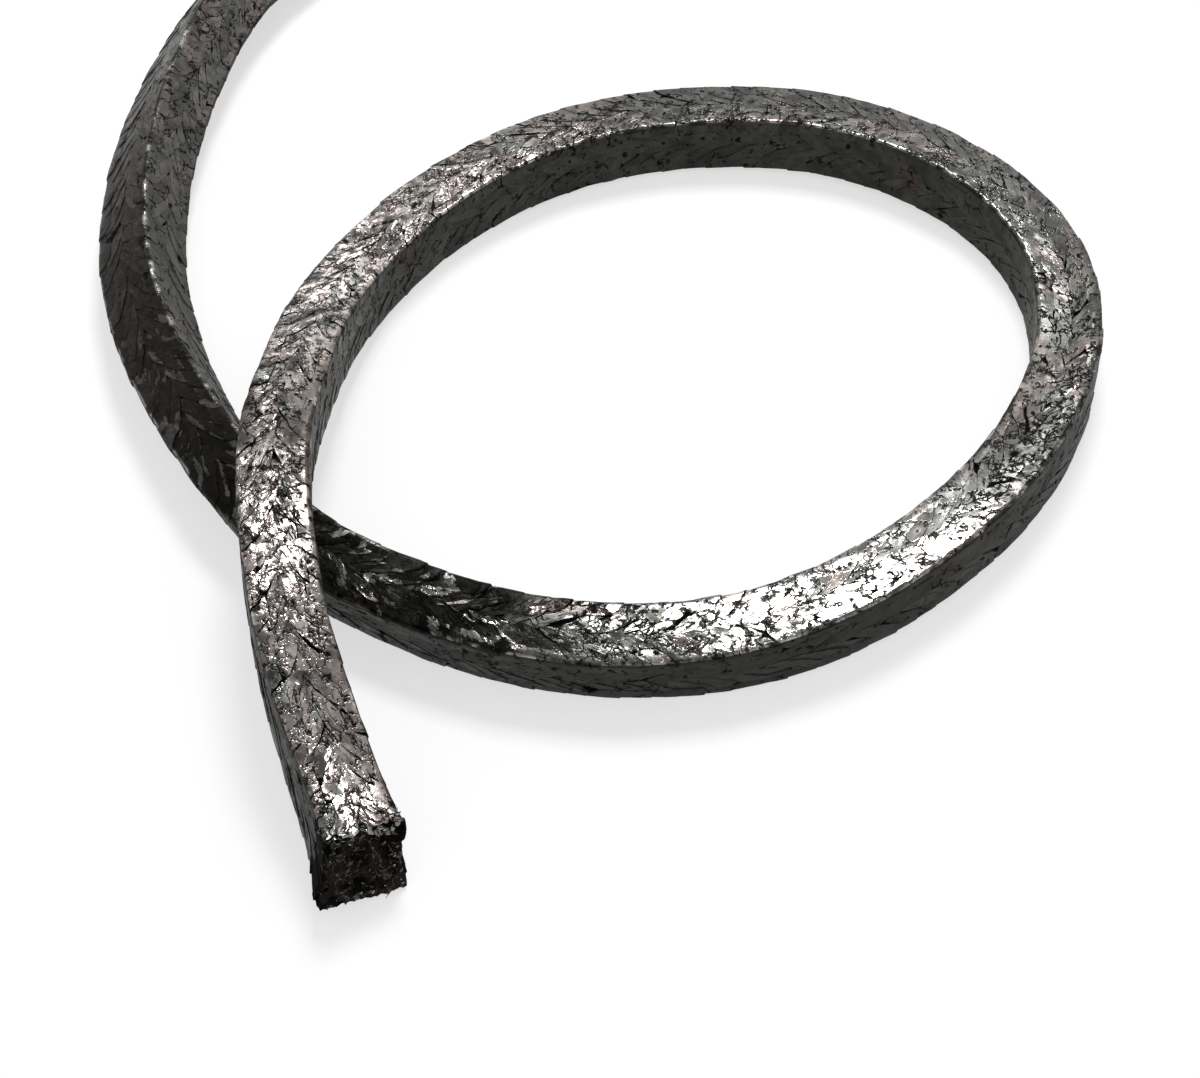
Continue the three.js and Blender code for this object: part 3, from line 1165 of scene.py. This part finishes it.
    def build(self, material: bpy.types.Material) -> list[bpy.types.Object]:
        """Makes the packing as two plain meshes: its faces with the core, and its edges.

        Args:
            material: The graphite finish.

        Returns:
            The finished pieces, the faces first.
        """
        pieces = []
        for yarns in self.yarn_sets:
            template = self.float_template(yarns)
            values = {"Yarn float": template, "Row pitch": self.row_pitch, "Graphite": material}
            tree = self.tree(yarns, with_core=not pieces)
            pieces.append(baked(self.route.line_object(), tree, values, yarns.name))
            bpy.data.objects.remove(template)
        return pieces


@dataclass
class CutEnd:
    """What shows on a cut face: a torn pad of cut yarn, fibres that lie on it, and flakes at its rim."""

    route: PackingRoute
    place_group: bpy.types.NodeTree
    end: End
    pad_points: int = 50
    pad_reach: float = 0.0059
    pad_depth: float = 0.004
    notch_at: float = 0.5
    notch_depth: float = 0.0013
    fibres: int = 460
    fibre_length: float = 0.0016
    fibre_radius: float = 0.00009
    fibre_sides: int = 5
    flakes: int = 110
    flake_reach: float = 0.00075
    flake_thickness: float = 0.00007
    torn_inset: float = 0.0005
    torn_depth: float = 0.0030
    frayed_depth: float = 0.0012
    hollow_depth: float = 0.0019
    lip_height: float = 0.0009
    low_widening: float = 1.16

    @property
    def name(self) -> str:
        """Name of the piece."""
        return f"{self.end.value}_yarn_ends"

    @property
    def seed(self) -> int:
        """Fixed seed, which is another one for each end."""
        return 31 if self.end is End.NEAR else 57

    @staticmethod
    def closed(name: str, loops: list[list[tuple[float, float, float]]]) -> bpy.types.Object:
        """Makes a closed template from loops of points, one above the other, as many in each."""
        work = bmesh.new()
        rings = [[work.verts.new(point) for point in loop] for loop in loops]
        for low, high in zip(rings, rings[1:]):
            for k, point in enumerate(low):
                after = (k + 1) % len(low)
                work.faces.new((point, low[after], high[after], high[k]))
        work.faces.new(rings[0][::-1])
        work.faces.new(rings[-1])
        mesh = bpy.data.meshes.new(name)
        work.to_mesh(mesh)
        work.free()
        item = bpy.data.objects.new(name, mesh)
        bpy.context.scene.collection.objects.link(item)
        return item

    def fibre(self) -> bpy.types.Object:
        """Makes one thin fibre that starts along +Z and curls over."""
        loops = []
        angles = [2 * math.pi * k / self.fibre_sides for k in range(self.fibre_sides)]
        for share, width in ((-0.1, 1.0), (0.25, 1.0), (0.5, 0.9), (0.75, 0.7), (1.0, 0.3)):
            bend = 0.5 * self.fibre_length * max(share, 0.0) ** 2
            radius = self.fibre_radius * width
            height = self.fibre_length * share
            loops.append([(radius * math.cos(a) + bend, radius * math.sin(a), height) for a in angles])
        return self.closed("yarn_fibre", loops)

    def flake(self) -> bpy.types.Object:
        """Makes one thin uneven flake of foil, flat on the XY plane."""
        reaches = (1.0, 0.55, 0.8, 0.45, 0.9, 0.6, 0.7)
        corners = []
        for k, reach in enumerate(reaches):
            angle = 2 * math.pi * k / len(reaches)
            far = reach * self.flake_reach
            corners.append((far * math.cos(angle), far * math.sin(angle)))
        lift = 0.35 / self.flake_reach
        loops = [[(x, y, z + lift * x * x) for x, y in corners] for z in (0.0, self.flake_thickness)]
        return self.closed("foil_flake", loops)

    def tree(self) -> bpy.types.NodeTree:
        """Builds the node tree that makes the pad and sets the fibres and flakes on it.

        Returns:
            A tree with the inputs Route line, Fibre, Flake, Cut graphite and Graphite.
        """
        tree = bpy.data.node_groups.new("Yarn ends " + self.end.value, "GeometryNodeTree")
        maker = TreeMaker(tree)
        maker.input("Route line", "Geometry")
        for name in ("Fibre", "Flake"):
            maker.input(name, "Object")
        for name in ("Cut graphite", "Graphite"):
            maker.input(name, "Material")
        maker.output("Yarn ends", "Geometry")
        source = maker.add("NodeGroupInput")
        line, fibre, flake, cut, graphite = (Field(maker, source.outputs[k]) for k in range(5))
        route = maker.get("GeometryNodeMeshToCurve", {0: line})
        join = maker.add("GeometryNodeJoinGeometry")
        for shape, finish in (
            (self.pad(maker), cut),
            (self.lying_fibres(maker, fibre), cut),
            (self.rim_flakes(maker, flake), graphite),
        ):
            real = maker.get("GeometryNodeRealizeInstances", {"Geometry": shape})
            dressed = maker.get("GeometryNodeSetMaterial", {"Geometry": real, "Material": finish})
            maker.feed(join.inputs[0], dressed)
        placed = self.on_the_cut(maker, route, Field(maker, join.outputs[0]))
        if self.end is End.NEAR:
            placed = maker.get("GeometryNodeFlipFaces", {0: placed})
        maker.feed(maker.add("NodeGroupOutput").inputs[0], placed)
        return tree

    def torn_height(self, maker: TreeMaker, outer: Field, top: Field) -> Field:
        """Gives the height of the torn face above the plane of the cut, at a place in the section."""
        spot = maker.xyz(outer, top, self.seed * 0.01)
        coarse = maker.noise(spot, 330.0, 2.0) - 0.5
        fine = maker.noise(spot, 1500.0, 3.0) - 0.5
        hollow = maker.ramp(top, 0.0018, 0.0050)
        lip = maker.ramp(top, -0.0055, -0.0020, 1.0, 0.0)
        torn = coarse * self.torn_depth * (1.0 - lip * 0.7) + fine * self.frayed_depth
        return torn - hollow * self.hollow_depth + lip * self.lip_height - self.torn_inset

    def pad(self, maker: TreeMaker) -> Field:
        """Makes the closed pad that fills the section behind the torn face."""
        count = self.pad_points
        inputs = {"Size": (2.0, 2.0, 1.0), "Vertices X": count, "Vertices Y": count, "Vertices Z": 4}
        cube = maker.get("GeometryNodeMeshCube", inputs)
        u, v, w = maker.get("GeometryNodeInputPosition").parts()
        ragged = maker.noise(maker.xyz(u, v, self.seed * 1.0), 2.2, 3.0) - 0.5
        reach = (1.0 - (u * u) * (v * v) * 0.05 + ragged * 0.1) * self.pad_reach
        front = maker.ramp(w, -0.5, 0.5)
        beside = maker.ramp(maker.math("ABSOLUTE", u - self.notch_at), 0.0, 0.13, 1.0, 0.0)
        notch = beside * maker.ramp(v, -1.0, -0.6, 1.0, 0.0)
        outer = u * reach
        top = v * reach + notch * self.notch_depth
        height = self.torn_height(maker, outer, top) * front - (1.0 - front) * self.pad_depth
        spot = maker.xyz(outer, top, height)
        return maker.get("GeometryNodeSetPosition", {"Geometry": cube, "Position": spot})

    @staticmethod
    def scattered(
        maker: TreeMaker, count: int, spot: Field, turn: Field, size: Field, item: Field
    ) -> Field:
        """Sets a template on points that are given by fields of the point's index."""
        points = maker.get("GeometryNodePoints", {"Count": count, "Position": spot})
        solid = maker.get("GeometryNodeObjectInfo", {"Object": item}, out="Geometry")
        turned = maker.get("FunctionNodeEulerToRotation", {0: turn})
        scale = maker.xyz(size, size, size)
        inputs = {"Points": points, "Instance": solid, "Rotation": turned, "Scale": scale}
        return maker.get("GeometryNodeInstanceOnPoints", inputs)

    def lying_fibres(self, maker: TreeMaker, fibre: Field) -> Field:
        """Scatters the fibres over the torn face, nearly all of them lying along it."""
        index = maker.get("GeometryNodeInputIndex")
        edge = self.pad_reach * 0.9
        outer, top = (maker.random(self.seed + k, index, -edge, edge) for k in range(2))
        height = self.torn_height(maker, outer, top) + maker.random(self.seed + 2, index, -0.0001, 0.0002)
        heading = maker.random(self.seed + 3, index, 0.0, 2 * math.pi)
        lean = maker.random(self.seed + 4, index, 1.15, 1.75)
        inwards = maker.math("ARCTAN2", top, outer) + math.pi * 0.5
        near_edge = maker.math("MAXIMUM", maker.math("ABSOLUTE", outer), maker.math("ABSOLUTE", top))
        at_edge = maker.ramp(near_edge, 0.0030, 0.0042)
        heading = heading * (1.0 - at_edge) + (inwards + (heading - math.pi) * 0.35) * at_edge
        turn = maker.xyz(lean * -1.0, 0.0, heading)
        size = maker.random(self.seed + 5, index, 0.5, 1.4)
        return self.scattered(maker, self.fibres, maker.xyz(outer, top, height), turn, size, fibre)

    def rim_flakes(self, maker: TreeMaker, flake: Field) -> Field:
        """Sets torn flakes of foil in the hollow along the top of the torn face."""
        index = maker.get("GeometryNodeInputIndex")
        outer = maker.random(self.seed + 10, index, -self.pad_reach, self.pad_reach)
        sunk = maker.random(self.seed + 11, index)
        top = self.pad_reach - sunk * sunk * 0.0022
        height = maker.random(self.seed + 12, index, -0.0026, 0.0001) - sunk * 0.0005
        turns = [maker.random(self.seed + 13 + k, index, -0.8, 0.8) for k in range(2)]
        spin = maker.random(self.seed + 15, index, -math.pi, math.pi)
        turn = maker.xyz(turns[0] - math.pi / 2, turns[1], spin * 0.15)
        size = maker.random(self.seed + 16, index, 0.45, 1.3)
        spot = maker.xyz(outer, top, height)
        placed = self.scattered(maker, self.flakes, spot, turn, size, flake)
        real = maker.get("GeometryNodeRealizeInstances", {"Geometry": placed})
        wear_and_light = {"upward": 1.0, "shine": 1.0, "crumple": 1.2, "warmth": 0.3, "rim": 0.4}
        for name, value in wear_and_light.items():
            real = maker.store(real, name, value)
        return maker.store(real, "yarn", maker.get("GeometryNodeInputPosition"), "FLOAT_VECTOR")

    def on_the_cut(self, maker: TreeMaker, route: Field, shape: Field) -> Field:
        """Puts a shape, whose places are outer, top and height, on this end's cut."""
        outer, top, height = maker.get("GeometryNodeInputPosition").parts()
        if self.end is End.NEAR:
            outer = outer * maker.ramp(top, -0.0055, -0.001, self.low_widening, 1.0)
            along = height + self.route.cut_at - top * self.route.cut_lean
        else:
            along = height * -1.0
        inputs = {"Route": route, "Along": along, "Outer": outer, "Top": top}
        lay = maker.add("GeometryNodeGroup", inputs, node_tree=self.place_group)
        return moved(maker, shape, Field(maker, lay.outputs["Place"]))

    def build(self, cut_graphite: bpy.types.Material, graphite: bpy.types.Material) -> bpy.types.Object:
        """Makes the yarn ends of this end as one plain mesh.

        Args:
            cut_graphite: The finish of the torn yarn.
            graphite: The finish of the pressed foil.

        Returns:
            The finished piece.
        """
        templates = (self.fibre(), self.flake())
        values = {"Fibre": templates[0], "Flake": templates[1]}
        values |= {"Cut graphite": cut_graphite, "Graphite": graphite}
        piece = baked(self.route.line_object(), self.tree(), values, self.name)
        for template in templates:
            bpy.data.objects.remove(template)
        return piece


def moved(maker: TreeMaker, shape: Field, spot: Field) -> Field:
    """Moves the points of a shape to their places, none of them below the floor."""
    x, y, z = spot.parts()
    above = maker.math("MAXIMUM", z, FLOOR_GAP)
    shape = maker.store(shape, "target", maker.xyz(x, y, above), "FLOAT_VECTOR")
    inputs = {"Geometry": shape, "Position": maker.named("target", "FLOAT_VECTOR")}
    return maker.get("GeometryNodeSetPosition", inputs)


def baked(source: bpy.types.Object, tree: bpy.types.NodeTree, values: dict, name: str) -> bpy.types.Object:
    """Runs a node tree on an object and keeps the result as a plain mesh.

    Args:
        source: The object that the tree's first input takes; it is removed.
        tree: The geometry node tree.
        values: The tree's other inputs, by name.
        name: Name of the new piece.

    Returns:
        The new object, at the origin.
    """
    modifier = source.modifiers.new("made", "NODES")
    modifier.node_group = tree
    for item in tree.interface.items_tree:
        if item.item_type == "SOCKET" and item.in_out == "INPUT" and item.name in values:
            modifier[item.identifier] = values[item.name]
    source.update_tag()
    bpy.context.view_layer.update()
    graph = bpy.context.evaluated_depsgraph_get()
    mesh = bpy.data.meshes.new_from_object(source.evaluated_get(graph), depsgraph=graph)
    mesh.name = name
    piece = bpy.data.objects.new(name, mesh)
    bpy.context.scene.collection.objects.link(piece)
    bpy.data.objects.remove(source)
    return piece


@dataclass
class Studio:
    """The camera, the lamps, the world and the floor."""

    camera_place: tuple[float, float, float] = (0.001781, -0.25773, 0.27175)
    camera_pitch: float = 54.03
    lens: float = 57.0
    floor_size: float = 6.0
    lit_spot: tuple[float, float, float] = (0.028, -0.088, 0.012)
    highlight_way: tuple[float, float, float] = (0.04, 0.545, 0.833)
    left_spot: tuple[float, float, float] = (-0.045, -0.01, 0.03)
    left_way: tuple[float, float, float] = (-0.07, 0.96, 0.27)
    lamp_distance: float = 0.8
    back_size: tuple[float, float] = (0.20, 0.20)
    back_power: float = 3.6
    left_size: tuple[float, float] = (0.24, 0.24)
    left_power: float = 0.32
    horizon_level: float = 0.90
    overhead_level: float = 0.42
    diffuse_level: float = 0.48
    floor_glow: float = 0.62

    def camera(self) -> None:
        """Makes the camera at the photo's viewing angle."""
        data = bpy.data.cameras.new("camera")
        data.lens = self.lens
        data.sensor_width = 36.0
        data.clip_start = 0.01
        data.clip_end = 50.0
        item = bpy.data.objects.new("camera", data)
        item.location = self.camera_place
        item.rotation_euler = (math.radians(90.0 - self.camera_pitch), 0.0, 0.0)
        bpy.context.scene.collection.objects.link(item)
        bpy.context.scene.camera = item

    def lamp(self, name: str, place: Vector, aim: Vector, size: tuple[float, float], power: float) -> None:
        """Adds one soft rectangular lamp.

        Args:
            name: Name of the lamp.
            place: Where it stands.
            aim: The point that it faces.
            size: Its width and height.
            power: Its power in watts.
        """
        data = bpy.data.lights.new(name, "AREA")
        data.shape = "RECTANGLE"
        data.size, data.size_y = size
        data.energy = power
        item = bpy.data.objects.new(name, data)
        item.location = place
        item.rotation_euler = (aim - place).to_track_quat("-Z", "Y").to_euler()
        item.visible_camera = False
        bpy.context.scene.collection.objects.link(item)

    def lamps(self) -> None:
        """Adds the high back lamp that the pressed crowns mirror, and a weaker one, low behind the left."""
        spot = Vector(self.lit_spot)
        place = spot + Vector(self.highlight_way) * self.lamp_distance
        self.lamp("back_lamp", place, spot, self.back_size, self.back_power)
        spot = Vector(self.left_spot)
        place = spot + Vector(self.left_way) * self.lamp_distance
        self.lamp("left_lamp", place, spot, self.left_size, self.left_power)

    def world(self) -> None:
        """Sets a plain room: pale at the horizon, darker overhead, and white to the camera."""
        world = bpy.data.worlds.new("room")
        world.use_nodes = True
        bpy.context.scene.world = world
        maker = TreeMaker(world.node_tree)
        nodes = world.node_tree.nodes
        _, _, height = maker.get("ShaderNodeTexCoord", out="Generated").parts()
        level = maker.ramp(height, 0.45, 0.95, self.horizon_level, self.overhead_level)
        paths = maker.add("ShaderNodeLightPath")
        diffuse = Field(maker, paths.outputs["Is Diffuse Ray"])
        camera = Field(maker, paths.outputs["Is Camera Ray"])
        mixed = level * (1.0 - diffuse) + diffuse * self.diffuse_level
        strength = mixed * (1.0 - camera) + camera
        maker.feed(nodes["Background"].inputs["Color"], (1.0, 1.0, 1.0, 1.0))
        maker.feed(nodes["Background"].inputs["Strength"], strength)

    def floor(self) -> None:
        """Lays a plain white floor that keeps the packing's shadow."""
        half = self.floor_size / 2
        mesh = bpy.data.meshes.new("floor")
        corners = [(-half, -half, 0.0), (half, -half, 0.0), (half, half, 0.0), (-half, half, 0.0)]
        mesh.from_pydata(corners, [], [(0, 1, 2, 3)])
        item = bpy.data.objects.new("floor", mesh)
        bpy.context.scene.collection.objects.link(item)
        material = bpy.data.materials.new("floor_white")
        material.use_nodes = True
        maker = TreeMaker(material.node_tree)
        nodes = material.node_tree.nodes
        nodes.remove(nodes["Principled BSDF"])
        paths = maker.add("ShaderNodeLightPath")
        seen = Field(maker, paths.outputs["Is Camera Ray"])
        for name in ("Is Glossy Ray", "Is Transmission Ray"):
            seen = maker.math("MAXIMUM", seen, Field(maker, paths.outputs[name]))
        diffuse = maker.get("ShaderNodeBsdfDiffuse", {"Color": (0.45, 0.45, 0.45, 1.0)})
        inputs = {"Color": (1.0, 1.0, 1.0, 1.0), "Strength": seen * self.floor_glow}
        glow = maker.get("ShaderNodeEmission", inputs)
        both = maker.get("ShaderNodeAddShader", {0: diffuse, 1: glow})
        maker.feed(nodes["Material Output"].inputs["Surface"], both)
        mesh.materials.append(material)

    def build(self) -> None:
        """Makes all of it."""
        self.camera()
        self.lamps()
        self.world()
        self.floor()
        bpy.context.scene.view_settings.view_transform = "Standard"


def main() -> None:
    """Builds the pieces in order and reports each one."""
    logging.basicConfig(level=logging.INFO, format="%(message)s")
    route = PackingRoute()
    log.info("route: %.3f m", route.length)
    Studio().build()
    groups = PackingGroups(route)
    pair = (groups.outline(), groups.place())
    graphite = GraphiteFinish().material()
    cut_graphite = CutFinish().material()
    piece, edges = BraidedPacking(route, pair).build(graphite)
    others = [edges, *(CutEnd(route, pair[1], end).build(cut_graphite, graphite) for end in End)]
    for item in (piece, *others):
        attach(item, BODY)
    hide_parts(CAD_NODE)
    path = route.cord_path()
    for item in (piece, *others):
        count = sum(len(face.vertices) - 2 for face in item.data.polygons)
        log.info("%s: %d triangles", item.name, count)


if __name__ == "__main__":
    main()
